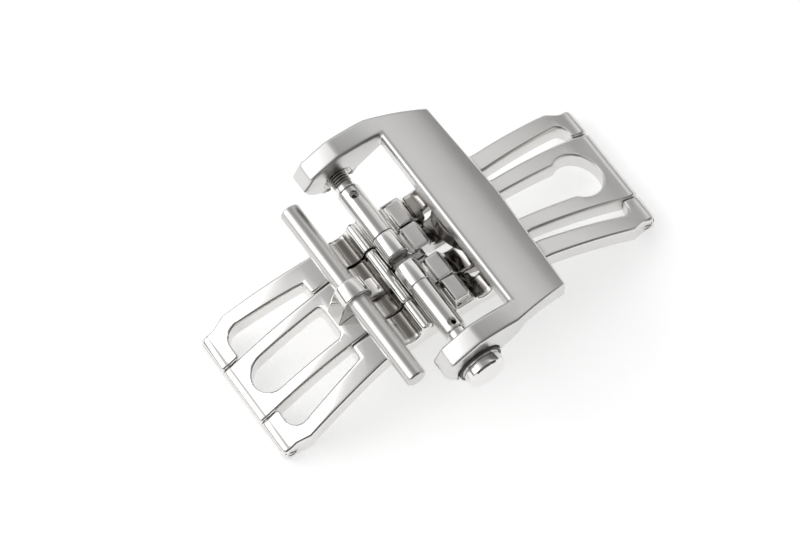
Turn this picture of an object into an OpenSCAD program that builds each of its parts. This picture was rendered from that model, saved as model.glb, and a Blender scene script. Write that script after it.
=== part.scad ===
// Folding clasp for a watch strap: an arched base, two blades that unfold from its ends,
// a strap bar on the left blade and a buckle frame with a push button on the right blade.
// Millimetres. X runs along the clasp, Y across it, Z up. It stands on its two hinge ends.

/* [Arch] */
// Radius of the arch that the rails and blades follow, on top
arch_radius = 37.3; // [34:0.1:42]
// Height of the arch's top above the table
arch_top = 7.6; // [7:0.1:8.5]
// Thickness of rails and blades
band = 2.1; // [1.8:0.05:2.4]

/* [Hinges] */
// Distance of each hinge axis from the middle
hinge_x = 19.4; // [18.9:0.05:19.8]
// Radius of the hinge barrels
hinge_r = 1.05; // [0.95:0.01:1.15]
// Radius of the hinge pins
hinge_pin_r = 0.5; // [0.35:0.01:0.6]
// How far the flat end face lies beyond the hinge axis
end_flat = 0.95; // [0.8:0.01:1]

/* [Base] */
// Half width of the base at its hinge ears
ear_half = 6.75; // [6.3:0.05:7]
// Half width of the base where the wings are widest
wing_half = 7.15; // [6.9:0.05:7.6]
// Half width of the base at its waist
waist_half = 6.15; // [5.8:0.05:6.6]
// Distance from the middle to the widest place of a wing
wing_x = 17.6; // [17:0.1:17.8]
// Distance from the middle to the ends of the narrow waist
waist_x = 9; // [8:0.1:10]
// Side gap between a blade and the rails
blade_gap = 0.08; // [0.05:0.01:0.15]
// Height of the bridge's top above the table
bridge_top = 6.15; // [6:0.05:6.3]

/* [Left blade] */
// Half width of the left blade
tongue_half = 3; // [2.7:0.05:3.2]
// Where the left blade ends
tongue_end = -3.82; // [-3.95:0.01:-3.8]
// Half width of the left blade's window
window_half = 1.7; // [1.3:0.05:1.9]
// Where the window ends on the right
window_end = -10.6; // [-11.5:0.1:-10.5]
// Radius of the rounded rib at the blade's end
rib_r = 0.58; // [0.45:0.01:0.6]
// Height of the rib's top above the table
rib_top = 8.02; // [7.7:0.01:8.1]

/* [Right blade] */
// Half width of the right blade at its hinge
fork_hinge_half = 3.85; // [3.6:0.05:4]
// Half width of the right blade across its prongs
prong_half = 3.1; // [2.9:0.05:3.2]
// Where the prongs start on the left
prong_start = -1.1; // [-1.3:0.05:-1]
// Height of the flat blocks on rails and prongs
block_top = 8.2; // [7.8:0.05:8.3]
// Length of the flat blocks
block_l = 1.6; // [1.4:0.05:1.8]
// Half width over the rails' blocks
block_outer = 5.6; // [5:0.05:6]
// Half width of the slot between the knuckles
knuckle_gap_half = 0.5; // [0.4:0.05:0.7]
// Radius of the round hole under the clamp foot
fork_hole_r = 2.4; // [2:0.05:2.45]
// Middle of the round hole
fork_hole_x = 4.8; // [4.6:0.1:5.2]
// Radius of the keyhole's round end
keyhole_r = 2.3; // [1.9:0.05:2.4]
// From the right hinge back to the middle of the keyhole's round end
keyhole_back = 3.03; // [2.8:0.01:3.6]

/* [Strap bar] */
// Place of the strap bar along the clasp
strap_bar_x = -8.26; // [-8.6:0.02:-8]
// Height of the strap bar's axis above the table
strap_bar_z = 8.63; // [8.6:0.01:9]
// Radius of the strap bar
strap_bar_r = 0.98; // [0.8:0.01:1]
// Length of the strap bar
strap_bar_l = 19.9; // [17:0.1:20]
// Thickness of the lug that carries the strap bar
lug_t = 1.8; // [1.6:0.1:2.6]
// Wall of the lug round the strap bar
lug_wall = 0.55; // [0.45:0.01:0.65]

/* [Buckle bar] */
// Place of the buckle bar along the clasp
bar_x = -3; // [-3.06:0.01:-2.94]
// Height of the buckle bar's axis above the table
bar_z = 9.04; // [8.95:0.01:9.2]
// Radius of the half shafts
shaft_r = 0.6; // [0.5:0.01:0.7]
// Radius of the sleeves that the strap goes round
sleeve_r = 1.12; // [1:0.01:1.15]
// Distance from the middle to the sleeves' outer ends
sleeve_end = 8.25; // [7.8:0.05:8.3]
// Radius of the collars
collar_r = 0.98; // [0.9:0.01:1.05]
// Radius of the cross holes in the sleeves
cross_hole_r = 0.38; // [0.3:0.01:0.4]
// Radius of the knuckles on the right blade
knuckle_r = 1.14; // [1.05:0.01:1.18]
// Running clearance of shafts in their holes
running = 0.04; // [0.03:0.005:0.06]

/* [Buckle frame] */
// Half the gap between the frame's ears
ear_inner = 9.85; // [9.75:0.05:10]
// Thickness of the frame's arms and ears
arm_t = 2.1; // [1.9:0.05:2.4]
// Where the window's right edge lies
frame_window_x = 1.45; // [1.2:0.05:1.8]
// Radius of the crossbar's curved top
frame_top_r = 18; // [17.9:0.05:18.1]
// Thickness of the crossbar
crossbar_t = 1.9; // [1.6:0.05:2.1]
// Width of the polished bevel round the window
window_bevel = 0.4; // [0.2:0.05:0.5]
// Radius of the clamp foot under the crossbar
foot_r = 3.2; // [2.6:0.1:3.3]
// Height of the clamp foot
foot_h = 1.3; // [1:0.1:1.4]
// Radius of the strap post
post_r = 0.8; // [0.6:0.05:1]
// Length of the strap post below the foot
post_l = 1.5; // [1:0.1:1.8]

/* [Push button] */
// Radius of the push button
button_r = 1.88; // [1.6:0.01:1.9]
// How far the push button stands out of the ear
button_out = 1.3; // [1.1:0.05:1.6]
// Travel of the push button
button_travel = 0.5; // [0.3:0.05:0.5]
// Side clearance of the button in its counterbore
button_gap = 0.06; // [0.04:0.01:0.1]

/* [Hidden] */
$fn = 64;
eps = 0.01;
over = 1;
tall = 40;
arch_z = arch_top - arch_radius;
end_x = hinge_x + end_flat;
// Grooves across the mid part, as [place along X, height of the centre, radius]
groove_left = [-5.95, arch_top + 0.35, 1.2];
groove_bar = [-2.5, arch_top + 0.85, 1.55];
groove_right = [1.75, arch_top + 0.25, 1.1];
rib_x = tongue_end - rib_r;
rib_z = rib_top - rib_r;
ear_chamfer = 0.3;
ear_start = hinge_x - hinge_r / 2;
wing_round = 0.3;
block_end = prong_start + block_l;
block_round = 0.3;
// Bridge that joins the two rails, with a ledge under each blade
bridge_x0 = tongue_end + blade_gap;
bridge_x1 = -1.75;
ledge_x0 = -5;
ledge_x1 = 0.1;
ledge_t = 0.45;
ledge_gap = 0.06;
// Side slots between rails and blades
slot_left_end = window_end + 0.03;
slot_left_y0 = 4.4;
slot_left_y1 = 5.55;
slot_left_r = 1.2;
slot_left_back = 2.15;
slot_left_x = slot_left_back - hinge_x;
window_round_x = slot_left_x + 0.13;
window_corner_r = 0.5;
slot_right_start = 1.85;
slot_right_y0 = 3.95;
slot_right_ym = 4.2;
slot_right_y1 = 5.35;
slot_right_r = 0.9;
slot_right_back = 1.75;
slot_right_x = hinge_x - slot_right_back;
// Outline of the right blade
fork_bulge = 3.4;
fork_bulge_half = 1.6;
fork_waist = 3.1;
fork_slot_y0 = 1.35;
fork_slot_y1 = 1.8;
fork_slot_x0 = fork_hole_x + 1.8;
keyhole_x = hinge_x - keyhole_back;
fork_slot_x1 = keyhole_x - 1.2;
pin_slot_w = 0.18;
pin_slot_d = 0.2;
pin_recess = 0.06;
// Strap bar, lug and its screws
lug_r = strap_bar_r + lug_wall;
lug_x0 = window_end + 0.15;
lug_x1 = -5.35;
lug_toe = 0.15;
lug_nose = 0.7;
lug_top = arch_top + 0.15;
screw_r = 0.35;
screw_head_r = 0.62;
screw_head_h = 0.4;
screw_recess = 0.05;
screw_slot_w = 0.16;
screw_slot_d = 0.1;
screw_xs = [-9.55, -7.05];
screw_tip_z = [6.95, 7.35];
bar_chamfer = 0.15;
press_step = 0.17;
// Buckle bar along Y, measured from the middle outwards
knuckle_end = 2.9;
spigot_r = 0.78;
neck_in = 0.12;
cross_y = [sleeve_end - 0.9, -sleeve_end + 0.55];
collar_start = sleeve_end + 0.12;
collar_left_end = 9.02;
collar_right_end = ear_inner - 0.06;
collar_neck_r = 0.86;
ear_skin = 0.5;
shaft_end_gap = 0.1;
bush_flange_t = 0.2;
bush_flange_r = 1.1;
bush_r = 0.95;
spring_start = collar_left_end;
spring_pocket_d = 0.85;
spring_pocket_r = 1.35;
left_bush_start = ear_inner + spring_pocket_d;
spring_end = left_bush_start - bush_flange_t - 0.03;
spring_r = 0.93;
spring_inner_r = 0.7;
cross_pin_r = 0.25;
cross_pin_top = 0.75;
ear_outer = ear_inner + arm_t;
// Frame outline
frame_cx = -2.2;
frame_foot_x = 4.31;
frame_foot_z = arch_top + 4.33;
frame_cz = frame_foot_z - sqrt(pow(frame_top_r, 2) - pow(frame_foot_x - frame_cx, 2));
frame_bottom_r = frame_top_r - crossbar_t;
lobe_x = -3.55;
lobe_z = bar_z + 1.86;
lobe_r = 3.1;
arm_low_z = bar_z + 1.2;
facet_start = [-3, 13.15];
facet_mid = [-5.75, 11.85];
facet_end = [-6.6, 10.3];
frame_corner_x = 7.15;
frame_corner_y = ear_outer - 1.35;
frame_bow_x = 7.7;
shoulder_x = 1.05;
bow_r = (pow(frame_corner_y, 2) + pow(frame_bow_x - frame_corner_x, 2)) / (2 * (frame_bow_x - frame_corner_x));
foot_tilt = 24;
foot_top_r = frame_bottom_r - 0.1;
post_seat = crossbar_t - 1;
post_chamfer = 0.25;
// Push button and its guide bush in the lower ear
guide_out = 0.15;
guide_in = 0.75;
guide_wall = 0.2;
guide_r = button_r + button_gap + guide_wall;
button_in = 0;
cap_floor = button_travel + 0.06;
pocket_r = bush_r - 0.1;
pocket_end = 0.5;
button_neck_w = 0.16;
button_neck_r = button_r - 0.14;
button_chamfer = 0.2;
stem_in = 0.5;
stem_inner_end = knuckle_gap_half + button_travel + 0.15;
return_spring_r = pocket_r - 0.03;
return_spring_inner_r = shaft_r + 0.06;
stop_groove_l = button_travel + 2 * cross_pin_r + 0.1;
stop_groove_d = 0.22;
pin_tip_gap = 0.03;
set_screw_r = 0.4;
set_screw_z = bar_z + 0.6;
set_screw_l = 1.7;
set_screw_in = 0.5;

steel = [0.78, 0.78, 0.79];
satin = [0.68, 0.68, 0.69];
dark_steel = [0.5, 0.5, 0.52];

// Height of the arch's top at a place along X
function arch_at(x) = arch_z + sqrt(pow(arch_radius, 2) - pow(x, 2));

// An outline drawn in X and Z, made solid from y0 to y1
module across(y0, y1) {
    translate([0, y1, 0]) rotate([90, 0, 0]) linear_extrude(y1 - y0) children();
}

// A round rod along Y
module rod(x, z, y0, y1, r) {
    translate([x, y0, z]) rotate([-90, 0, 0]) cylinder(h = y1 - y0, r = r);
}

// An outline drawn in X and Y, made solid through the whole height
module through() {
    translate([0, 0, -tall / 2]) linear_extrude(tall) children();
}

module both_sides() {
    children();
    mirror([0, 1, 0]) children();
}

module groove(g) {
    translate([g[0], g[1]]) circle(g[2]);
}

// Side view of rails and blades: the arched band, its round hinge ends, the grooves and the rib
module side_view() {
    difference() {
        intersection() {
            union() {
                difference() {
                    translate([0, arch_z]) circle(arch_radius, $fn = 256);
                    translate([0, arch_z]) circle(arch_radius - band, $fn = 256);
                }
                for (side = [-1, 1]) translate([side * hinge_x, hinge_r]) circle(hinge_r);
            }
            translate([-end_x, 0]) square([2 * end_x, tall]);
        }
        groove(groove_left);
        groove(groove_bar);
        groove(groove_right);
    }
    difference() {
        translate([rib_x - rib_r, arch_top - band]) square([2 * rib_r, rib_z - arch_top + band]);
        translate([0, arch_z]) circle(arch_radius - band, $fn = 256);
    }
    translate([rib_x, rib_z]) circle(rib_r);
}

// Side view of the flat blocks on rails and prongs, rounded towards the right
module block_view() {
    difference() {
        translate([prong_start, arch_top - band / 2]) square([block_l, block_top - arch_top + band / 2]);
        translate([block_end - block_round, block_top - block_round]) square(2 * block_round);
    }
    translate([block_end - block_round, block_top - block_round]) circle(block_round);
}

// Outline of the base from above, without pockets
module base_outline() {
    w = [
        [end_x, ear_half - ear_chamfer], [end_x - ear_chamfer, ear_half], [ear_start, ear_half],
        [wing_x + wing_round, wing_half - wing_round / 4], [wing_x, wing_half], [waist_x, waist_half]
    ];
    right = [for (p = w) p];
    left = [for (i = [len(w) - 1 : -1 : 0]) [-w[i][0], w[i][1]]];
    top = concat(right, left);
    bottom = [for (i = [len(top) - 1 : -1 : 0]) [top[i][0], -top[i][1]]];
    polygon(concat(top, bottom));
}

module left_side_slot() {
    polygon([
        [slot_left_end, tongue_half - eps], [slot_left_end, slot_left_y0],
        [slot_left_x, slot_left_y1], [slot_left_x, tongue_half - eps]
    ]);
    translate([slot_left_x, slot_left_y1 - slot_left_r]) circle(slot_left_r);
    translate([slot_left_x - slot_left_r, tongue_half - eps])
        square([slot_left_r, slot_left_y1 - slot_left_r - tongue_half]);
}

module right_side_slot() {
    polygon([
        [slot_right_start, prong_half - eps], [slot_right_start, slot_right_y0],
        [waist_x, slot_right_ym], [slot_right_x, slot_right_y1], [slot_right_x, prong_half - eps]
    ]);
    translate([slot_right_x, slot_right_y1 - slot_right_r]) circle(slot_right_r);
    translate([slot_right_x - slot_right_r, prong_half - eps])
        square([2 * slot_right_r, slot_right_y1 - slot_right_r - prong_half]);
}

// Outline of the right blade with its prongs, grown by a side gap
module fork_outline(gap) {
    h = [
        [prong_start, prong_half], [slot_right_start, prong_half], [fork_hole_x - fork_bulge_half, fork_bulge],
        [fork_hole_x + fork_bulge_half, fork_bulge], [waist_x, fork_waist],
        [slot_right_x + slot_right_r, fork_hinge_half], [end_x + over, fork_hinge_half]
    ];
    top = [for (p = h) [p[0], p[1] + gap]];
    bottom = [for (i = [len(h) - 1 : -1 : 0]) [h[i][0], -h[i][1] - gap]];
    polygon(concat(top, bottom));
}

module base() {
    color(steel) {
        difference() {
            union() {
                across(-wing_half, wing_half) side_view();
                across(-block_outer, block_outer) block_view();
            }
            through() difference() {
                translate([-tall, -tall]) square(2 * tall);
                base_outline();
            }
            through() {
                translate([-end_x - over, -tongue_half - blade_gap])
                    square([end_x + over + prong_start, 2 * (tongue_half + blade_gap)]);
                fork_outline(blade_gap);
                both_sides() left_side_slot();
                both_sides() right_side_slot();
            }
            hinge_bores(hinge_pin_r);
            rivet_holes();
        }
        bridge();
    }
}

module hinge_bores(r) {
    for (side = [-1, 1]) rod(side * hinge_x, hinge_r, -wing_half, wing_half, r);
}

// Cross piece between the rails, with a thin ledge that reaches under both blades
module bridge() {
    y = tongue_half + blade_gap;
    difference() {
        union() {
            translate([bridge_x0, -y, arch_at(0) - band])
                cube([bridge_x1 - bridge_x0, 2 * y, bridge_top - arch_at(0) + band]);
            translate([ledge_x0, -y, arch_at(0) - band]) cube([ledge_x1 - ledge_x0, 2 * y, ledge_t]);
        }
        rivet_holes();
    }
}

rivet_y = 1.7;
rivet_r = 0.35;
module rivet_holes() {
    for (side = [-1, 1])
        translate([(bridge_x0 + bridge_x1) / 2, side * rivet_y, 0]) cylinder(h = tall, r = rivet_r);
}

// Two rest studs riveted in the bridge, on which the knuckles come down
module bridge_rivets() {
    color(dark_steel) for (side = [-1, 1])
        translate([(bridge_x0 + bridge_x1) / 2, side * rivet_y, 0]) {
            translate([0, 0, arch_at(0) - band]) cylinder(h = bridge_top - arch_at(0) + band, r = rivet_r);
            translate([0, 0, bridge_top]) cylinder(h = rivet_r, r = rivet_r * 1.6);
        }
}

// Hinge pin with a screwdriver slot in its lower end
module hinge_pin(side) {
    color(satin) difference() {
        rod(side * hinge_x, hinge_r, -ear_half + pin_recess, ear_half - pin_recess, hinge_pin_r);
        translate([side * hinge_x, -ear_half, hinge_r]) rotate([0, 35, 0])
            cube([2 * hinge_pin_r + 0.2, 2 * (pin_slot_d + pin_recess), pin_slot_w], center = true);
    }
}
module left_hinge_pin() { hinge_pin(-1); }
module right_hinge_pin() { hinge_pin(1); }

// Space that the ledges of the bridge need under the blades
module ledge_cut() {
    z = arch_at(0) - band;
    translate([ledge_x0 - ledge_gap, -tall / 2, z - over])
        cube([ledge_x1 - ledge_x0 + 2 * ledge_gap, tall, over + ledge_t + ledge_gap]);
}

// Window of the left blade, round on the left and with two small corner radii on the right
module blade_window() {
    x1 = window_end - window_corner_r;
    translate([window_round_x, 0]) circle(window_half);
    translate([window_round_x, -window_half]) square([x1 - window_round_x, 2 * window_half]);
    for (side = [-1, 1]) translate([x1, side * (window_half - window_corner_r)]) circle(window_corner_r);
    translate([x1 - eps, window_corner_r - window_half])
        square([window_corner_r + eps, 2 * (window_half - window_corner_r)]);
}

module left_blade() {
    color(steel) difference() {
        across(-tongue_half, tongue_half) intersection() {
            side_view();
            translate([-end_x, 0]) square([end_x + tongue_end, tall]);
        }
        through() blade_window();
        rod(-hinge_x, hinge_r, -tall / 2, tall / 2, hinge_pin_r + running);
        ledge_cut();
        screw_cuts();
    }
}

// Standing plate with the ring round the strap bar, seated on the left blade's top
module bar_lug() {
    color(steel) difference() {
        union() {
            rod(strap_bar_x, strap_bar_z, -lug_t / 2, lug_t / 2, lug_r);
            across(-lug_t / 2, lug_t / 2) polygon([
                [lug_x0, bridge_top - over], [lug_x0, arch_at(lug_x0) + lug_toe],
                [strap_bar_x - lug_r * 0.94, strap_bar_z + lug_r * 0.34], [strap_bar_x, strap_bar_z],
                [strap_bar_x + lug_r * 0.82, strap_bar_z - lug_r * 0.57],
                [lug_x1 - lug_nose, lug_top], [lug_x1 - lug_nose / 7, lug_top - lug_toe * 2],
                [lug_x1, lug_top - lug_nose + eps * 5], [lug_x1, bridge_top - over]
            ]);
        }
        across(-lug_t, lug_t) {
            side_view();
            translate([0, arch_z]) circle(arch_radius - band / 2, $fn = 256);
        }
        rod(strap_bar_x, strap_bar_z, -lug_t, lug_t, strap_bar_r + press_step);
        screw_cuts();
    }
}

// Screws from below that hold the lug on the left blade
module screw_body(i, extra) {
    x = screw_xs[i];
    low = arch_z + sqrt(pow(arch_radius - band, 2) - pow(abs(x) + screw_head_r, 2)) + screw_recess;
    translate([x, 0, low + extra[0]]) cylinder(h = screw_head_h - extra[0], r = screw_head_r);
    translate([x, 0, low]) cylinder(h = screw_tip_z[i] - low, r = screw_r);
}
module lug_screws() {
    color(satin) for (i = [0, 1]) difference() {
        screw_body(i, [0]);
        translate([screw_xs[i], 0, 0]) cube([screw_slot_w, 4 * screw_head_r, 2 * (arch_at(screw_xs[i]) - band + screw_slot_d)], center = true);
    }
}
module screw_cuts() {
    for (i = [0, 1]) screw_body(i, [-over]);
}

// Strap bar, a little thicker where it is pressed in the lug
module strap_bar() {
    half = strap_bar_l / 2;
    color(satin) union() {
        rod(strap_bar_x, strap_bar_z, -lug_t / 2, lug_t / 2, strap_bar_r + press_step);
        translate([strap_bar_x, 0, strap_bar_z]) rotate([-90, 0, 0]) rotate_extrude() polygon([
            [0, -half], [strap_bar_r - bar_chamfer, -half], [strap_bar_r, -half + bar_chamfer],
            [strap_bar_r, half - bar_chamfer], [strap_bar_r - bar_chamfer, half], [0, half]
        ]);
    }
}

// Web that joins each knuckle to its prong
module knuckle_web() {
    polygon([
        [bar_x - knuckle_r * 0.8, bar_z - knuckle_r * 0.6], [bar_x + knuckle_r * 0.9, bar_z - knuckle_r * 0.3],
        [prong_start - 0.35, arch_top + 0.2], [prong_start + 0.2, arch_top + 0.2],
        [prong_start + 0.2, bridge_top], [prong_start - 0.2, bridge_top + 0.45],
        [tongue_end + 0.2, bridge_top + 0.5], [tongue_end + 0.2, arch_top]
    ]);
}

module right_blade() {
    color(steel) difference() {
        union() {
            intersection() {
                across(-fork_hinge_half, fork_hinge_half) {
                    side_view();
                    block_view();
                }
                through() fork_outline(0);
            }
            both_sides() across(knuckle_gap_half, knuckle_end) {
                knuckle_web();
                translate([bar_x, bar_z]) circle(knuckle_r);
            }
        }
        through() {
            translate([bar_x - knuckle_end, -knuckle_gap_half])
                square([fork_hole_x - bar_x + knuckle_end, 2 * knuckle_gap_half]);
            translate([fork_hole_x, 0]) circle(fork_hole_r);
            polygon([
                [fork_slot_x0, -fork_slot_y0], [fork_slot_x1, -fork_slot_y1],
                [fork_slot_x1, fork_slot_y1], [fork_slot_x0, fork_slot_y0]
            ]);
            translate([keyhole_x, 0]) circle(keyhole_r);
        }
        rod(hinge_x, hinge_r, -tall / 2, tall / 2, hinge_pin_r + running);
        rod(bar_x, bar_z, -tall / 2, tall / 2, spigot_r);
        ledge_cut();
    }
}

// Half shaft fixed in the upper sleeve, running in the upper ear
module left_half_shaft() {
    color(satin) difference() {
        rod(bar_x, bar_z, knuckle_gap_half, ear_outer - ear_skin - shaft_end_gap, shaft_r);
        translate([bar_x, cross_y[0], bar_z - cross_pin_top]) cylinder(h = tall, r = cross_pin_r);
    }
}

// Sleeve that the strap goes round, with a spigot through the knuckle and a cross hole near its end
module sleeve(side, bore) {
    hole_y = side > 0 ? cross_y[0] : cross_y[1];
    mirror([0, side > 0 ? 0 : 1, 0]) difference() {
        union() {
            rod(bar_x, bar_z, knuckle_end, sleeve_end, sleeve_r);
            rod(bar_x, bar_z, knuckle_gap_half, knuckle_end, spigot_r);
        }
        rod(bar_x, bar_z, 0, sleeve_end + 1, bore);
        rod(bar_x, bar_z, sleeve_end - neck_in, sleeve_end + 1, collar_neck_r);
        translate([bar_x, side * hole_y, bar_z]) cylinder(h = tall, r = cross_hole_r);
        translate([bar_x, side * hole_y, bar_z - tall]) cylinder(h = tall, r = cross_pin_r);
    }
}
module left_sleeve() { color(satin) sleeve(1, shaft_r); }
module right_sleeve() { color(satin) sleeve(-1, shaft_r + running); }

// Pins from below through sleeve and shaft, seen at the bottom of the cross holes
module cross_pin(y, top) {
    low = sleeve_r - 0.08;
    translate([bar_x, y, bar_z - low]) cylinder(h = low + top, r = cross_pin_r);
}
module left_cross_pin() { color(dark_steel) cross_pin(cross_y[0], shaft_r * 0.4); }
module right_cross_pin() { color(dark_steel) cross_pin(cross_y[1], stop_groove_d - shaft_r - pin_tip_gap); }

// Collar at the outer end of a sleeve, held by a neck in the sleeve's mouth
module collar(end, bore) {
    difference() {
        union() {
            rod(bar_x, bar_z, collar_start, end, collar_r);
            rod(bar_x, bar_z, sleeve_end - neck_in, end, collar_neck_r);
        }
        rod(bar_x, bar_z, 0, end + 1, bore);
    }
}
module left_collar() { color(steel) collar(collar_left_end, shaft_r); }
module right_collar() { color(steel) mirror([0, 1, 0]) collar(collar_right_end, shaft_r + running); }

module left_coil_spring() {
    color(dark_steel) difference() {
        rod(bar_x, bar_z, spring_start, spring_end, spring_r);
        rod(bar_x, bar_z, spring_start - 1, spring_end + 1, spring_inner_r);
    }
}

// Side view of the frame's crossbar and arms
module frame_top_side() {
    translate([frame_cx, frame_cz]) circle(frame_top_r, $fn = 192);
}
module crossbar_view() {
    difference() {
        frame_top_side();
        translate([frame_cx, frame_cz]) circle(frame_bottom_r, $fn = 192);
    }
}
module arm_view() {
    intersection() {
        frame_top_side();
        union() {
            translate([lobe_x, lobe_z]) circle(lobe_r);
            polygon([
                [lobe_x, lobe_z + lobe_r + 0.5], [frame_window_x + 0.5, lobe_z + lobe_r + 0.5],
                [frame_window_x + 0.5, arm_low_z + 0.3], [frame_window_x, arm_low_z],
                [lobe_x + lobe_r * 0.62, lobe_z - lobe_r * 0.78], [lobe_x, lobe_z]
            ]);
        }
        polygon([
            [facet_end[0], bar_z - 3], facet_end, facet_mid, facet_start,
            [facet_start[0] + 0.01, tall], [tall, tall], [tall, bar_z - 3]
        ]);
    }
}

// Outline of the frame from above
module frame_outline() {
    intersection() {
        polygon([
            [-tall, -ear_outer], [shoulder_x, -ear_outer], [frame_corner_x + 0.1, -frame_corner_y],
            [tall, -frame_corner_y + 12], [tall, frame_corner_y - 12],
            [frame_corner_x + 0.1, frame_corner_y], [shoulder_x, ear_outer], [-tall, ear_outer]
        ]);
        union() {
            translate([frame_bow_x - bow_r, 0]) circle(bow_r, $fn = 256);
            translate([-tall, -tall]) square([tall, 2 * tall]);
        }
    }
}

module window_outline() {
    translate([-tall, -ear_inner]) square([tall + frame_window_x, 2 * ear_inner]);
}

// Sloping cut along the window's right edge
module window_bevel_cut() {
    z = frame_cz + sqrt(pow(frame_top_r, 2) - pow(frame_window_x - frame_cx, 2));
    across(-ear_inner, ear_inner) polygon([
        [frame_window_x - 1, z - 1 - window_bevel], [frame_window_x - 1, z + 1],
        [frame_window_x + window_bevel + 1, z + 1]
    ]);
}

module buckle_frame() {
    color(satin) difference() {
        intersection() {
            union() {
                difference() {
                    across(-ear_outer - over, ear_outer + over) intersection() {
                        crossbar_view();
                        translate([frame_window_x - 0.5, 0]) square(tall);
                    }
                    through() window_outline();
                }
                both_sides() across(ear_inner, ear_outer + over) arm_view();
            }
            through() frame_outline();
        }
        window_bevel_cut();
        rod(bar_x, bar_z, ear_inner - over, ear_outer - ear_skin, bush_r);
        rod(bar_x, bar_z, ear_inner - over, left_bush_start, spring_pocket_r);
        rod(bar_x, bar_z, -ear_outer - over, -ear_inner + over, bush_r);
        rod(bar_x, bar_z, -ear_outer - over, -ear_outer + guide_in, guide_r);
        set_screw_holes();
        foot_place() translate([0, 0, -over]) cylinder(h = over + post_seat, r = post_r);
    }
}

// Place of the clamp foot, square to the crossbar's underside
module foot_place() {
    translate([frame_cx, 0, frame_cz]) rotate([0, foot_tilt, 0]) translate([0, 0, foot_top_r]) children();
}

module clamp_foot() {
    color(dark_steel) difference() {
        intersection() {
            foot_place() translate([0, 0, -foot_h]) cylinder(h = foot_h + over, r = foot_r);
            translate([frame_cx, 0, frame_cz]) rotate([90, 0, 0])
                cylinder(h = 2 * foot_r + over, r = frame_bottom_r, center = true, $fn = 192);
        }
        foot_place() translate([0, 0, -tall]) cylinder(h = 2 * tall, r = post_r);
    }
}

// Post that goes through a hole of the strap
module strap_post() {
    color(steel) foot_place() translate([0, 0, -foot_h - post_l])
        rotate_extrude() polygon([
            [0, 0], [post_r - post_chamfer, 0], [post_r, post_chamfer * 1.2],
            [post_r, foot_h + post_l + post_seat], [0, foot_h + post_l + post_seat]
        ]);
}

// Bush at the bottom of the upper ear's spring pocket
module left_ear_bush() {
    color(steel) difference() {
        union() {
            rod(bar_x, bar_z, left_bush_start, ear_outer - ear_skin, bush_r);
            rod(bar_x, bar_z, left_bush_start - bush_flange_t, left_bush_start, bush_flange_r);
        }
        rod(bar_x, bar_z, ear_inner - 1, ear_outer, shaft_r + running);
    }
}

// Guide of the push button, with a pocket for its return spring
module right_ear_bush() {
    color(steel) difference() {
        union() {
            rod(bar_x, bar_z, -ear_outer - guide_out, -ear_outer + guide_in, guide_r);
            rod(bar_x, bar_z, -ear_outer + guide_in, -ear_inner, bush_r);
        }
        rod(bar_x, bar_z, -ear_outer - guide_out - 1, -ear_outer + cap_floor, button_r + button_gap);
        rod(bar_x, bar_z, -ear_outer, -ear_inner - pocket_end, pocket_r);
        rod(bar_x, bar_z, -ear_outer, -ear_inner + 1, shaft_r + running);
    }
}

// Screws in the front of the ears that hold the bushes
set_screw_end = bar_x - bush_r - 0.03;
set_screw_y = [left_bush_start + 0.35, -ear_inner - 0.6];
module set_screw_holes() {
    for (y = set_screw_y)
        translate([set_screw_end - tall, y, set_screw_z]) rotate([0, 90, 0])
            cylinder(h = tall, r = set_screw_r);
}
module ear_set_screws() {
    color(dark_steel) for (y = set_screw_y)
        translate([set_screw_end - set_screw_l, y, set_screw_z]) rotate([0, 90, 0])
            difference() {
                cylinder(h = set_screw_l, r = set_screw_r);
                translate([0, 0, -over]) cylinder(h = over + set_screw_in, r = set_screw_r * 0.55, $fn = 6);
            }
}

module button_cap() {
    y = -ear_outer - button_out;
    neck = button_out - guide_out - button_neck_w;
    color(steel) translate([bar_x, y, bar_z]) rotate([-90, 0, 0]) difference() {
        rotate_extrude() polygon([
            [0, 0], [button_r - button_chamfer, 0], [button_r, button_chamfer],
            [button_r, neck], [button_neck_r, neck], [button_neck_r, neck + button_neck_w],
            [button_r, neck + button_neck_w], [button_r, button_out + button_in], [0, button_out + button_in]
        ]);
        translate([0, 0, stem_in]) cylinder(h = tall, r = shaft_r);
    }
}

// Turned groove that the lower cross pin reaches into, which stops the stem at both ends of its travel
module stop_groove() {
    y = cross_y[1] - button_travel / 2;
    difference() {
        rod(bar_x, bar_z, y - stop_groove_l / 2, y + stop_groove_l / 2, 2 * shaft_r);
        rod(bar_x, bar_z, y - stop_groove_l, y + stop_groove_l, shaft_r - stop_groove_d);
    }
}

// Stem from the button through ear, collar and sleeve into the lower knuckle
module button_stem() {
    color(satin) difference() {
        rod(bar_x, bar_z, -ear_outer - button_out + stem_in, -stem_inner_end, shaft_r);
        stop_groove();
    }
}

module button_spring() {
    color(dark_steel) difference() {
        rod(bar_x, bar_z, -ear_outer - button_in, -ear_inner - pocket_end, return_spring_r);
        rod(bar_x, bar_z, -ear_outer - 1, -ear_inner, return_spring_inner_r);
    }
}

base();
bridge_rivets();
left_hinge_pin();
right_hinge_pin();
left_blade();
bar_lug();
lug_screws();
strap_bar();
right_blade();
left_half_shaft();
left_sleeve();
left_cross_pin();
left_collar();
left_coil_spring();
right_sleeve();
right_cross_pin();
right_collar();
buckle_frame();
clamp_foot();
strap_post();
left_ear_bush();
right_ear_bush();
ear_set_screws();
button_cap();
button_stem();
button_spring();
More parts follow.
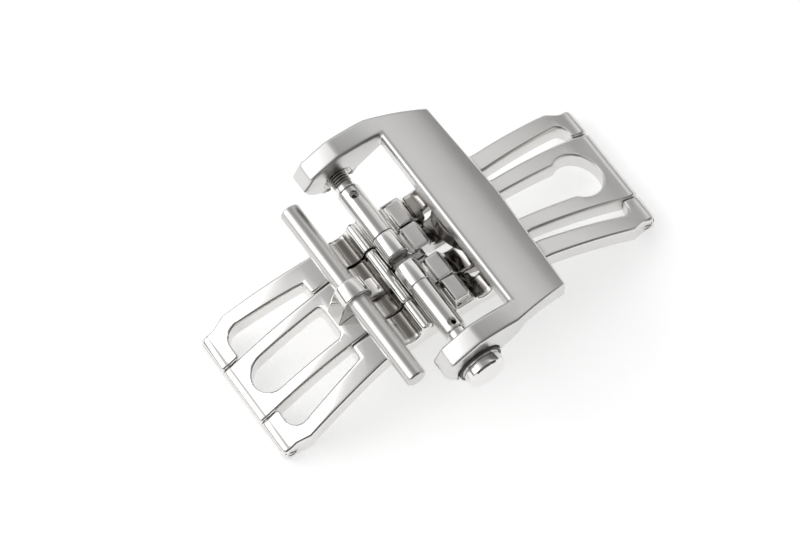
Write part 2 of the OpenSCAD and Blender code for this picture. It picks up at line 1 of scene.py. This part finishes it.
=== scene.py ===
import bpy
import math
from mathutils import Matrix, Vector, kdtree


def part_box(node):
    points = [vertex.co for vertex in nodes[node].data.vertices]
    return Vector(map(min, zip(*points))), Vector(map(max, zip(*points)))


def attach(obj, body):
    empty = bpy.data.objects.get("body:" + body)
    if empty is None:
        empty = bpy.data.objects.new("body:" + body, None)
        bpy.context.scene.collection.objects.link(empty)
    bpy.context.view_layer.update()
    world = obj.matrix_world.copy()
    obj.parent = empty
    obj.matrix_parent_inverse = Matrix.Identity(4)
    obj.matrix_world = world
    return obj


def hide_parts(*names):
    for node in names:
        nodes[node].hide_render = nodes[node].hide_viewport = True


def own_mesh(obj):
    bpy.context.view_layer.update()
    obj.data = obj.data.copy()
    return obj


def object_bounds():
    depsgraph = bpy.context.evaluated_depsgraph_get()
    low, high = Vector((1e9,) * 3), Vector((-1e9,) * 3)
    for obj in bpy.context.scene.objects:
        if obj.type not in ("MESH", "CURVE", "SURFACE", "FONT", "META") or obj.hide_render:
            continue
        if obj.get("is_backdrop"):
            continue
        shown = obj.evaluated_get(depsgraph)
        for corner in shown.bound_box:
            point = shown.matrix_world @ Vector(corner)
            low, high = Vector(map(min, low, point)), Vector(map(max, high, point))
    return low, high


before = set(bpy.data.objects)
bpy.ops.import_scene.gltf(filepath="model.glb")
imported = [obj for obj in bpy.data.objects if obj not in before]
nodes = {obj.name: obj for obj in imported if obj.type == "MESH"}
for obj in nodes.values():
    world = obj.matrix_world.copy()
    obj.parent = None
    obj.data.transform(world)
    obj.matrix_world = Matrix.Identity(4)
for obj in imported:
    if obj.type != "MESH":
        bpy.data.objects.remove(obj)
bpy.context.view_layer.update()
bpy.ops.object.select_all(action="DESELECT")

# The arched base: two rails milled from one strip of steel, with the wide hinge ends.
# Its left half is mirror polished, its right half and the tops of its blocks are satin,
# and every edge is broken by hand on a felt wheel.
MM = 0.001
STEEL = (0.80, 0.79, 0.775, 1.0)
# The brown of the painted shade and dark reflection in the hollows.
PAINTED_SHADE_BROWN = (0.10, 0.082, 0.066, 1.0)
ARCH_RADIUS = 37.3 * MM
ARCH_MIDDLE = -29.7 * MM
BLOCK_TOP = 8.2 * MM
BLOCK_START = -1.3 * MM
WAIST_INSET = 1.0 * MM
RAIL_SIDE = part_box("base")[1].y - WAIST_INSET
SOFT_EDGE = 0.16 * MM
DRIFT_SCALE = 260.0
DRIFT_MIDDLE = (0.35, 0.65)
GRAIN_SCALE = 14000.0
GRAIN_DEPTH = 0.02 * MM
SATIN = 0.22
SATIN_FADE = 1.5 * MM
SIDE_FADE = 0.3 * MM
# Fades of the painted shade: at its depth edge, its left end and its right end.
PAINTED_SHADE_EDGE = 0.25 * MM
PAINTED_SHADE_START = 0.6 * MM
PAINTED_SHADE_END = 1.4 * MM
SAMPLE_STEP = 0.25 * MM
SAME_WAY = 0.7
LEAST_SHARE = 0.2
SMALL_HOLE = 9.5 * MM
MOST_REFILLS = 24
MANY_CORNERS = 20
TURNED_OVER = 0.2
LEAST_FOLD = 0.01 * MM * MM
MERGE_GAP = 0.012 * MM
FLAT_ANGLE = math.radians(0.6)
FACET_ANGLE = math.radians(4.0)
SHARP_ANGLE = math.radians(32)
SMOOTH_ANGLE = math.radians(38)
NO_FACETS = 1.0


def steel(name, colour, low, high, edge, grain=0.0):
    """Bare steel. Roughness drifts from low to high, and edges are worn soft over edge metres.
    Ground steel has a fine grain too, of strength grain."""
    material = bpy.data.materials.new(name)
    material.use_nodes = True
    tree = material.node_tree
    shader = tree.nodes["Principled BSDF"]
    shader.inputs["Base Color"].default_value = colour
    shader.inputs["Metallic"].default_value = 1.0
    place = tree.nodes.new("ShaderNodeTexCoord")
    drift = tree.nodes.new("ShaderNodeTexNoise")
    drift.inputs["Scale"].default_value = DRIFT_SCALE
    drift.inputs["Detail"].default_value = 4.0
    tree.links.new(place.outputs["Object"], drift.inputs["Vector"])
    spread = tree.nodes.new("ShaderNodeMapRange")
    spread.inputs["From Min"].default_value = DRIFT_MIDDLE[0]
    spread.inputs["From Max"].default_value = DRIFT_MIDDLE[1]
    spread.inputs["To Min"].default_value = low
    spread.inputs["To Max"].default_value = high
    tree.links.new(drift.outputs["Fac"], spread.inputs["Value"])
    tree.links.new(spread.outputs["Result"], shader.inputs["Roughness"])
    rounding = tree.nodes.new("ShaderNodeBevel")
    rounding.samples = 8
    rounding.inputs["Radius"].default_value = edge
    normal = rounding.outputs["Normal"]
    if grain > 0:
        fine = tree.nodes.new("ShaderNodeTexNoise")
        fine.inputs["Scale"].default_value = GRAIN_SCALE
        fine.inputs["Detail"].default_value = 2.0
        tree.links.new(place.outputs["Object"], fine.inputs["Vector"])
        bump = tree.nodes.new("ShaderNodeBump")
        bump.inputs["Strength"].default_value = grain
        bump.inputs["Distance"].default_value = GRAIN_DEPTH
        tree.links.new(fine.outputs["Fac"], bump.inputs["Height"])
        tree.links.new(normal, bump.inputs["Normal"])
        normal = bump.outputs["Normal"]
    tree.links.new(normal, shader.inputs["Normal"])
    return material


def ramp(tree, value, start, stop, first, last):
    """A smooth step of value from first at start to last at stop."""
    step = tree.nodes.new("ShaderNodeMapRange")
    step.interpolation_type = "SMOOTHSTEP"
    step.inputs["From Min"].default_value = start
    step.inputs["From Max"].default_value = stop
    step.inputs["To Min"].default_value = first
    step.inputs["To Max"].default_value = last
    tree.links.new(value, step.inputs["Value"])
    return step.outputs["Result"]


def combine(tree, operation, one, other):
    """Math on two values; other may be a number."""
    math_node = tree.nodes.new("ShaderNodeMath")
    math_node.operation = operation
    tree.links.new(one, math_node.inputs[0])
    if isinstance(other, float):
        math_node.inputs[1].default_value = other
    else:
        tree.links.new(other, math_node.inputs[1])
    return math_node.outputs["Value"]


def place_xyz(tree):
    """The place on the piece, as X, Y and Z outputs."""
    place = tree.nodes.new("ShaderNodeTexCoord")
    apart = tree.nodes.new("ShaderNodeSeparateXYZ")
    tree.links.new(place.outputs["Object"], apart.inputs["Vector"])
    return apart.outputs


def satin_beyond(material, start):
    """Satin grinding to the right of start and on the blocks' tops, mirror polish elsewhere."""
    tree = material.node_tree
    xyz = place_xyz(tree)
    right = ramp(tree, xyz["X"], start, start + SATIN_FADE, 0.0, SATIN)
    blocks = ramp(tree, xyz["Z"], BLOCK_TOP - 0.12 * MM, BLOCK_TOP - 0.04 * MM, 0.0, SATIN)
    left = ramp(tree, xyz["X"], BLOCK_START, BLOCK_START + 0.15 * MM, 0.0, 1.0)
    blocks = combine(tree, "MULTIPLY", blocks, left)
    extra = combine(tree, "MAXIMUM", right, blocks)
    rough = tree.nodes["Principled BSDF"].inputs["Roughness"]
    tree.links.new(combine(tree, "ADD", rough.links[0].from_socket, extra), rough)


def paint_hollow_shade(material, *zones):
    """Painted shade and dark reflection in the hollows, a brown tint kept inside the rails'
    outer faces.
    A zone is (left, right, depth below the arch's top, share of painted shade)."""
    tree = material.node_tree
    xyz = place_xyz(tree)
    up = combine(tree, "SUBTRACT", xyz["Z"], ARCH_MIDDLE)
    squares = combine(tree, "ADD", combine(tree, "POWER", xyz["X"], 2.0),
                      combine(tree, "POWER", up, 2.0))
    reach = combine(tree, "SQRT", squares, 0.0)
    aside = combine(tree, "ABSOLUTE", xyz["Y"], 0.0)
    within = ramp(tree, aside, RAIL_SIDE - 2 * SIDE_FADE, RAIL_SIDE - SIDE_FADE, 1.0, 0.0)
    painted_shade = None
    for left, right, depth, share in zones:
        top = ARCH_RADIUS - depth
        inside = ramp(tree, reach, top - PAINTED_SHADE_EDGE, top, share, 0.0)
        from_left = ramp(tree, xyz["X"], left, left + PAINTED_SHADE_START, 0.0, 1.0)
        to_right = ramp(tree, xyz["X"], right - PAINTED_SHADE_END, right, 1.0, 0.0)
        zone = combine(tree, "MULTIPLY", inside, combine(tree, "MULTIPLY", from_left, to_right))
        painted_shade = zone if painted_shade is None else combine(tree, "MAXIMUM", painted_shade, zone)
    shader = tree.nodes["Principled BSDF"]
    painted_shade = combine(tree, "MULTIPLY", painted_shade, within)
    mix = tree.nodes.new("ShaderNodeMix")
    mix.data_type = "RGBA"
    tree.links.new(painted_shade, mix.inputs["Factor"])
    mix.inputs["A"].default_value = shader.inputs["Base Color"].default_value
    mix.inputs["B"].default_value = PAINTED_SHADE_BROWN
    tree.links.new(mix.outputs["Result"], shader.inputs["Base Color"])


def weigh_edges(mesh, width, crisp):
    """Gives each run of sharp edges a bevel weight: less than one where half of it has another
    run too near for width, and none on small closed holes or where there is hardly any room.
    Edges with their middle in the crisp box, (left, right, near, far), stay as milled."""
    sides = {}
    for face in mesh.polygons:
        for key in face.edge_keys:
            sides.setdefault(key, []).append(face.normal)
    sharp = []
    for edge in mesh.edges:
        pair = sides.get(tuple(sorted(edge.vertices)), [])
        if len(pair) == 2 and pair[0].angle(pair[1], 0.0) > SHARP_ANGLE:
            sharp.append(edge)
    ways = {}
    joined = {}
    for edge in sharp:
        one, two = edge.vertices
        ways[edge.index] = (mesh.vertices[two].co - mesh.vertices[one].co).normalized()
        joined.setdefault(one, []).append(edge.index)
        joined.setdefault(two, []).append(edge.index)
    chain = {edge.index: edge.index for edge in sharp}

    def head(index):
        while chain[index] != index:
            index = chain[index]
        return index

    for met in joined.values():
        for one in met:
            for two in met:
                if one < two and abs(ways[one].dot(ways[two])) > SAME_WAY:
                    chain[head(one)] = head(two)
    points = []
    for edge in sharp:
        one, two = (mesh.vertices[v].co for v in edge.vertices)
        parts = max(2, int((two - one).length / SAMPLE_STEP))
        points += [(one.lerp(two, (i + 0.5) / parts), edge) for i in range(parts)]
    tree = kdtree.KDTree(len(points))
    for i, (point, edge) in enumerate(points):
        tree.insert(point, i)
    tree.balance()
    nearest = {i: 2 * width for i in range(len(points))}
    for number, (point, edge) in enumerate(points):
        for _, i, gap in tree.find_range(point, 2 * width):
            other = points[i][1]
            apart = not set(edge.vertices) & set(other.vertices)
            if apart and head(other.index) != head(edge.index):
                nearest[number] = min(nearest[number], gap)
    rooms = {}
    runs = {}
    for number, (point, edge) in enumerate(points):
        rooms.setdefault(head(edge.index), []).append(nearest[number])
    for edge in sharp:
        runs.setdefault(head(edge.index), []).append(edge)
    weights = mesh.attributes.new("bevel_weight_edge", "FLOAT", "EDGE")
    for index, run in runs.items():
        share = sorted(rooms[index])[len(rooms[index]) // 2] / (2 * width)
        ends = [[mesh.vertices[v].co for v in edge.vertices] for edge in run]
        length = sum((one - two).length for one, two in ends)
        closed = len({v for edge in run for v in edge.vertices}) == len(run)
        if share < LEAST_SHARE or (closed and length < SMALL_HOLE):
            continue
        for edge, (one, two) in zip(run, ends):
            at = (one + two) / 2
            if not (crisp and crisp[0] < at.x < crisp[1] and crisp[2] < at.y < crisp[3]):
                weights.data[edge.index].value = share


def select_open_edges(wire):
    """Selects the edges left without a face, or the ones round an open hole."""
    bpy.ops.mesh.select_all(action="DESELECT")
    bpy.ops.mesh.select_mode(type="EDGE")
    bpy.ops.mesh.select_non_manifold(extend=False, use_wire=wire, use_boundary=not wire,
                                     use_multi_face=False, use_non_contiguous=False,
                                     use_verts=False)


def refill_folded(piece):
    """Fills again each flat face whose triangles fold over one another, the worst one first."""
    mesh = piece.data
    for _ in range(MOST_REFILLS):
        mesh.calc_loop_triangles()
        folded = {}
        for part in mesh.loop_triangles:
            face = mesh.polygons[part.polygon_index]
            turned = part.normal.dot(face.normal) < TURNED_OVER
            if turned and len(face.vertices) > MANY_CORNERS:
                folded[face.index] = folded.get(face.index, 0.0) + part.area
        worst = max(folded, key=folded.get, default=None)
        if worst is None or folded[worst] < LEAST_FOLD:
            return
        bpy.ops.object.mode_set(mode="EDIT")
        bpy.ops.mesh.select_mode(type="FACE")
        bpy.ops.mesh.select_all(action="DESELECT")
        bpy.ops.object.mode_set(mode="OBJECT")
        mesh.polygons[worst].select = True
        bpy.ops.object.mode_set(mode="EDIT")
        bpy.ops.mesh.delete(type="ONLY_FACE")
        select_open_edges(True)
        bpy.ops.mesh.delete(type="EDGE")
        select_open_edges(False)
        bpy.ops.mesh.fill(use_beauty=True)
        bpy.ops.object.mode_set(mode="OBJECT")


def break_edges(name, body, material, width, crisp=None, flat_from=NO_FACETS):
    """A copy of a milled piece with its sharp edges rounded by width, in the piece's place.
    The facets further out than flat_from along X become one flat, and the rounding doesn't
    reach below the piece."""
    bpy.ops.object.select_all(action="DESELECT")
    piece = bpy.data.objects.new(name + "_finished", nodes[name].data.copy())
    bpy.context.scene.collection.objects.link(piece)
    piece.select_set(True)
    bpy.context.view_layer.objects.active = piece
    bpy.ops.mesh.customdata_custom_splitnormals_clear()
    bpy.ops.object.mode_set(mode="EDIT")
    bpy.ops.mesh.select_all(action="SELECT")
    bpy.ops.mesh.remove_doubles(threshold=MERGE_GAP)
    bpy.ops.mesh.dissolve_limited(angle_limit=FLAT_ANGLE)
    bpy.ops.mesh.select_all(action="DESELECT")
    bpy.ops.mesh.select_mode(type="VERT")
    bpy.ops.object.mode_set(mode="OBJECT")
    for vertex in piece.data.vertices:
        vertex.select = abs(vertex.co.x) > flat_from
    bpy.ops.object.mode_set(mode="EDIT")
    bpy.ops.mesh.dissolve_limited(angle_limit=FACET_ANGLE)
    bpy.ops.object.mode_set(mode="OBJECT")
    weigh_edges(piece.data, width, crisp)
    lowest = min(vertex.co.z for vertex in piece.data.vertices)
    rounding = piece.modifiers.new("rounding", "BEVEL")
    rounding.width = width
    rounding.segments = 3
    rounding.limit_method = "WEIGHT"
    rounding.use_clamp_overlap = False
    bpy.ops.object.modifier_apply(modifier="rounding")
    refill_folded(piece)
    for vertex in piece.data.vertices:
        vertex.co.z = max(vertex.co.z, lowest)
    bpy.ops.object.shade_smooth_by_angle(angle=SMOOTH_ANGLE)
    flats = piece.modifiers.new("flats", "WEIGHTED_NORMAL")
    flats.keep_sharp = True
    bpy.ops.object.modifier_apply(modifier="flats")
    piece.data.materials.clear()
    piece.data.materials.append(material)
    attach(piece, body)
    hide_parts(name)


base_steel = steel("base_steel", STEEL, 0.09, 0.14, SOFT_EDGE)
satin_beyond(base_steel, 3.0 * MM)
# Painted shade and dark reflection, a brown tint: in the groove left of the blocks, and on the
# rails under the crossbar.
paint_hollow_shade(base_steel, (-7.4 * MM, -2.5 * MM, 0.0, 0.75), (0.6 * MM, 9.0 * MM, -0.4 * MM, 0.62))
break_edges("base", "base", base_steel, 0.32 * MM,
            crisp=(-9.0 * MM, 0.0, -3.3 * MM, 3.3 * MM))

# The hinge pins and the two rivets of the bridge: hard drawn wire, cut and pressed in,
# a little duller on their sheared ends than the polished pieces round them.


def finish_nodes(material, *names):
    """The named pieces get this material on their outside."""
    for name in names:
        nodes[name].data.materials.clear()
        nodes[name].data.materials.append(material)


pin_steel = steel("pin_steel", (0.66, 0.65, 0.64, 1.0), 0.16, 0.26, 0.06 * MM)
finish_nodes(pin_steel, "left_hinge_pin", "right_hinge_pin", "bridge_rivets")

# The left blade, with its window and the rounded rib across its end.
# One mirror polished strip, with painted shade, a brown tint, in the groove before its rib.
HINGE_FACETS = 18.3 * MM
blade_steel = steel("blade_steel", STEEL, 0.08, 0.13, SOFT_EDGE)
paint_hollow_shade(blade_steel, (-7.4 * MM, -3.4 * MM, 0.0, 0.75))
break_edges("left_blade", "left_wing", blade_steel, 0.30 * MM,
            flat_from=HINGE_FACETS)

# The lug that is screwed to the left blade, its two screws from below, and the strap
# bar pressed through it. The bar is ground along its length and only lightly polished.
lug_steel = steel("lug_steel", STEEL, 0.08, 0.13, SOFT_EDGE)
# Painted shade: a brown tint on the lug's lower part, where the ring's shadow falls.
paint_hollow_shade(lug_steel, (-8.0 * MM, -5.0 * MM, -0.25 * MM, 0.85))
bar_steel = steel("bar_steel", (0.62, 0.612, 0.60, 1.0), 0.26, 0.32, 0.12 * MM)
break_edges("bar_lug", "left_wing", lug_steel, 0.14 * MM)
finish_nodes(bar_steel, "strap_bar")
finish_nodes(pin_steel, "lug_screws")

# The right blade, a fork with a round hole and a keyhole. Satin on its broad part,
# polished on the prongs and on the two knuckles that carry the buckle's bar.
fork_steel = steel("fork_steel", (0.80, 0.795, 0.785, 1.0), 0.10, 0.15, SOFT_EDGE)
satin_beyond(fork_steel, 4.0 * MM)
# Painted shade and dark reflection: a brown tint on the prongs' tops under the crossbar.
paint_hollow_shade(fork_steel, (0.6 * MM, 8.5 * MM, -0.4 * MM, 0.60))
break_edges("right_blade", "right_wing", fork_steel, 0.30 * MM,
            flat_from=HINGE_FACETS)

# The buckle's bar: two half shafts in the knuckles, a sleeve on each that the strap goes
# round, a collar beyond each sleeve, and small cross pins that hold them, painted near black as
# painted shade in their holes.
polished = steel("polished_steel", STEEL, 0.07, 0.12, SOFT_EDGE)
sleeve_steel = steel("sleeve_steel", (0.68, 0.672, 0.66, 1.0), 0.16, 0.21, 0.12 * MM)
# Near black steel: painted shade for the cross pins deep in their holes and for the ear bushes.
painted_shade_steel = steel("painted_shade_steel", (0.10, 0.094, 0.088, 1.0), 0.25, 0.40, 0.05 * MM)
finish_nodes(sleeve_steel, "left_sleeve", "right_sleeve", "left_half_shaft")
finish_nodes(polished, "left_collar", "right_collar")
finish_nodes(painted_shade_steel, "left_cross_pin", "right_cross_pin")

# The coil spring between the left collar and the ear's bush: four and a half turns of
# fine steel wire, which takes up the bar's end play.
BAR_X = -3.0 * MM
BAR_Z = 9.04 * MM
WIRE_SIDES = 12
TURN_STEPS = 28
ROUND_ANGLE = math.radians(50)
spring_wire = steel("spring_wire", (0.42, 0.40, 0.37, 1.0), 0.12, 0.22, 0.03 * MM)


def coil(name, wire, mean, start, end, turns):
    """A spring of round wire about the bar's axis, closed flat at both ends."""
    bpy.ops.object.select_all(action="DESELECT")
    bpy.ops.mesh.primitive_circle_add(vertices=WIRE_SIDES, radius=wire, fill_type="NOTHING",
                                      location=(0, 0, 0))
    piece = bpy.context.object
    piece.name = name
    bpy.ops.object.mode_set(mode="EDIT")
    bpy.ops.mesh.select_all(action="SELECT")
    bpy.ops.transform.rotate(value=math.pi / 2, orient_axis="X", center_override=(0, 0, 0))
    bpy.ops.transform.translate(value=(mean, 0, 0))
    bpy.ops.object.mode_set(mode="OBJECT")
    wind = piece.modifiers.new("wind", "SCREW")
    wind.axis = "Z"
    wind.angle = 2 * math.pi * turns
    wind.screw_offset = end - start - 2 * wire
    wind.iterations = 1
    wind.steps = int(TURN_STEPS * turns)
    wind.render_steps = wind.steps
    wind.use_merge_vertices = False
    bpy.ops.object.modifier_apply(modifier="wind")
    bpy.ops.object.mode_set(mode="EDIT")
    bpy.ops.mesh.select_all(action="DESELECT")
    bpy.ops.mesh.select_mode(type="EDGE")
    bpy.ops.mesh.select_non_manifold()
    bpy.ops.mesh.fill()
    bpy.ops.mesh.select_all(action="SELECT")
    bpy.ops.transform.translate(value=(0, 0, wire))
    bpy.ops.transform.rotate(value=-math.pi / 2, orient_axis="X", center_override=(0, 0, 0))
    bpy.ops.object.mode_set(mode="OBJECT")
    low = min(v.co.y for v in piece.data.vertices)
    high = max(v.co.y for v in piece.data.vertices)
    bpy.ops.object.mode_set(mode="EDIT")
    bpy.ops.mesh.select_all(action="SELECT")
    bpy.ops.transform.translate(value=(BAR_X, (start + end - low - high) / 2, BAR_Z))
    bpy.ops.mesh.normals_make_consistent(inside=False)
    bpy.ops.object.mode_set(mode="OBJECT")
    bpy.ops.object.shade_smooth_by_angle(angle=ROUND_ANGLE)
    piece.data.materials.append(spring_wire)
    return piece


low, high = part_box("left_coil_spring")
bar_coil = coil("bar_coil_spring", 0.115 * MM, 0.81 * MM, low.y, high.y, 4.5)
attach(bar_coil, "right_wing")
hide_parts("left_coil_spring")

# The return spring of the push button, seated in the ear's pocket behind the cap:
# five turns of fine wire, shortened by the button's half millimetre of travel.
low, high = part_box("button_spring")
button_coil = coil("button_return_spring", 0.07 * MM, 0.74 * MM, low.y, high.y, 5)
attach(button_coil, "buckle")
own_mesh(button_coil)
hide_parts("button_spring")

# The buckle frame: a bent crossbar between two arms that end in ears on the bar.
# Satin all over, the bevel round the window and the ear faces too.
ARM_FACETS = 6.2 * MM
frame_steel = steel("frame_steel", (0.70, 0.695, 0.685, 1.0), 0.28, 0.31, 0.2 * MM, 0.12)
break_edges("buckle_frame", "buckle", frame_steel, 0.3 * MM, flat_from=ARM_FACETS)

# The clamp foot and its strap post under the crossbar, polished, painted dark for the shade
# under the crossbar and a painted reflection of its underside, and the bushes and set screws
# that close the ears round the bar's ends.
foot_painted_shade_steel = steel("foot_painted_shade_steel", (0.17, 0.16, 0.15, 1.0), 0.14, 0.22, 0.2 * MM)
finish_nodes(foot_painted_shade_steel, "clamp_foot", "strap_post")
# The ear bushes are painted near black, as painted shade in the gaps round the bar's ends and
# the button's cap.
finish_nodes(painted_shade_steel, "left_ear_bush", "right_ear_bush")
finish_nodes(pin_steel, "ear_set_screws")

# The push button: a polished cap with a ring groove, pressed on the stem that slides in
# the right ear's bush. Both are turned from bar.
finish_nodes(polished, "button_cap")
finish_nodes(sleeve_steel, "button_stem")

# The table: a wide plain white sheet that the clasp stands on. It is lifted to the
# picture's white only where it is looked at, so that it doesn't light the clasp more.
TABLE_SIZE = 6.0
WHITE_LIFT = 0.52
bpy.ops.object.select_all(action="DESELECT")
bpy.ops.mesh.primitive_plane_add(size=TABLE_SIZE, location=(0, 0, 0))
floor = bpy.context.object
floor.name = "floor"
paper = bpy.data.materials.new("white_paper")
paper.use_nodes = True
tree = paper.node_tree
shader = tree.nodes["Principled BSDF"]
shader.inputs["Base Color"].default_value = (0.86, 0.86, 0.86, 1.0)
shader.inputs["Roughness"].default_value = 0.9
shader.inputs["Specular IOR Level"].default_value = 0.1
glow = tree.nodes.new("ShaderNodeEmission")
glow.inputs["Color"].default_value = (1.0, 1.0, 1.0, 1.0)
path = tree.nodes.new("ShaderNodeLightPath")
seen = combine(tree, "MAXIMUM", path.outputs["Is Camera Ray"], path.outputs["Is Glossy Ray"])
seen = combine(tree, "MAXIMUM", seen, path.outputs["Is Transmission Ray"])
tree.links.new(combine(tree, "MULTIPLY", seen, WHITE_LIFT), glow.inputs["Strength"])
both = tree.nodes.new("ShaderNodeAddShader")
tree.links.new(shader.outputs["BSDF"], both.inputs[0])
tree.links.new(glow.outputs["Emission"], both.inputs[1])
tree.links.new(both.outputs["Shader"], tree.nodes["Material Output"].inputs["Surface"])
floor.data.materials.append(paper)
floor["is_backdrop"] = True

# The room: a grey tent, dark along the table's edge, palest about 40 degrees up, brighter on
# the left. Dark zones in front and low on the right give the rounded edges dark lines.
# A row of TENT is the sine of the height above the table, the grey there, and its blue share.
TENT = (
    (0.0, 0.14, 0.90), (0.12, 0.20, 0.92), (0.28, 0.62, 0.97), (0.48, 0.72, 0.99),
    (0.60, 0.92, 1.0), (0.74, 0.84, 1.0), (0.86, 0.46, 1.0), (1.0, 0.34, 0.99)
)
LEFT_GAIN = 1.9
FRONT_DARK = 0.87
RIGHT_DARK = 0.90
world = bpy.data.worlds.new("room")
bpy.context.scene.world = world
world.use_nodes = True
tree = world.node_tree
back = tree.nodes["Background"]
way = tree.nodes.new("ShaderNodeTexCoord")
split = tree.nodes.new("ShaderNodeSeparateXYZ")
tree.links.new(way.outputs["Generated"], split.inputs["Vector"])
tone = tree.nodes.new("ShaderNodeValToRGB")
tone.color_ramp.interpolation = "EASE"
for height, grey, blue in TENT[1:-1]:
    tone.color_ramp.elements.new(height)
for element, (height, grey, blue) in zip(tone.color_ramp.elements, TENT):
    element.position = height
    element.color = (grey, grey * (1 + blue) / 2, grey * blue, 1.0)
tree.links.new(split.outputs["Z"], tone.inputs["Fac"])
gain = ramp(tree, split.outputs["X"], -0.44, -0.16, LEFT_GAIN, 1.0)
front = combine(tree, "MULTIPLY", ramp(tree, split.outputs["Y"], -0.40, -0.05, 1.0, 0.0),
                ramp(tree, split.outputs["Z"], 0.70, 0.92, FRONT_DARK, 0.0))
right = combine(tree, "MULTIPLY", ramp(tree, split.outputs["X"], 0.55, 0.85, 0.0, 1.0),
                ramp(tree, split.outputs["Z"], 0.10, 0.32, RIGHT_DARK, 0.0))
shade = combine(tree, "MAXIMUM", front, right)
shade = combine(tree, "ADD", combine(tree, "MULTIPLY", shade, -1.0), 1.0)
tree.links.new(combine(tree, "MULTIPLY", gain, shade), back.inputs["Strength"])
tree.links.new(tone.outputs["Color"], back.inputs["Color"])

# The lamp: one large soft box, high on the left and behind, that looks at the clasp.
# Everything else is lit by the room.
lamp = bpy.data.lights.new("key_box", "AREA")
lamp.shape = "RECTANGLE"
lamp.size = 0.36
lamp.size_y = 0.34
lamp.energy = 0.42
holder = bpy.data.objects.new("key_box", lamp)
bpy.context.scene.collection.objects.link(holder)
holder.location = (-0.42, 0.20, 0.30)
holder.rotation_euler = (-holder.location).to_track_quat("-Z", "Y").to_euler()

# The camera: a long lens in front on the left, 35 degrees round from the clasp's front and
# 65 degrees above the table. It looks at the middle of the clasp's foot.
lens = bpy.data.cameras.new("camera")
lens.sensor_width = 36.0
lens.lens = 177.5
lens.shift_x = -0.0370
lens.shift_y = 0.0255
lens.clip_start = 0.01
lens.clip_end = 20.0
camera = bpy.data.objects.new("camera", lens)
bpy.context.scene.collection.objects.link(camera)
camera.location = (-0.08613, -0.12335, 0.32264)
camera.rotation_euler = (-camera.location).to_track_quat("-Z", "Y").to_euler()
bpy.context.scene.camera = camera
bpy.context.scene.view_settings.view_transform = "Standard"

low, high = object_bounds()
